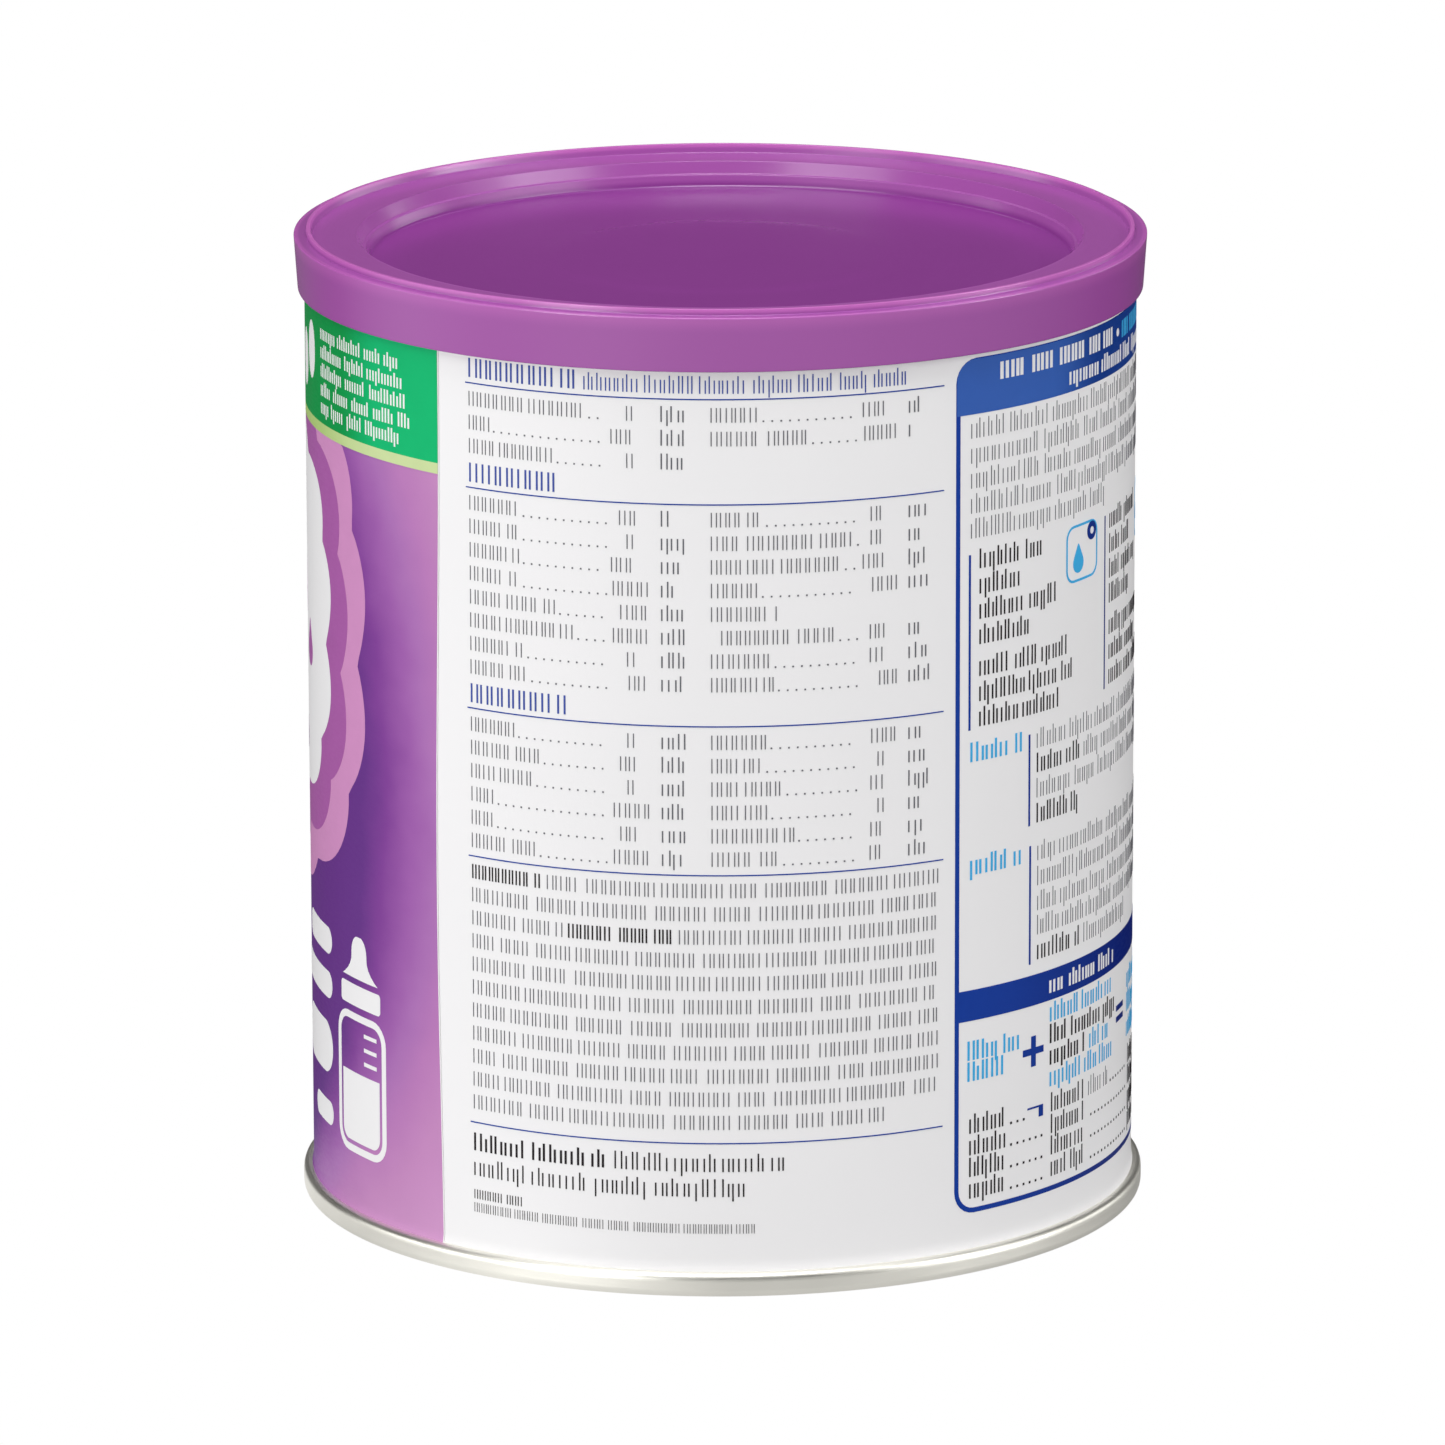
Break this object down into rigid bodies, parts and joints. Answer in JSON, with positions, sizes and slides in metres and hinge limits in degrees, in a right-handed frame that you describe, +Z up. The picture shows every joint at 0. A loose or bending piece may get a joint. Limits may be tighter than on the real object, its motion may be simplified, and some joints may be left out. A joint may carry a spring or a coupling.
{
  "type": "infant formula tin",
  "caption": "Shut round infant formula tin: paper-labelled body, seamed steel bottom end and push-fit plastic lid with a sunken well and stacking ring.",
  "frame": {"origin": "centre of the circle the tin stands on, at the bottom of the rolled seam", "axes": "+Z up along the tin's axis; -Y is the side the picture shows in the middle, the nutrition panel"},
  "size_m": [0.1032, 0.1032, 0.1201],
  "materials": {
    "body": "satin, hidden under the label and the lid",
    "end": "bright tinplate with a soft sheen",
    "label": "coated paper, satin, printed in violet, green, blue and grey",
    "lid": "soft satin violet polyethylene"
  },
  "bodies": {
    "root": {"tin_body": "body", "bottom_end": "end", "label": "label", "lid": "lid"}
  },
  "joints": []
}
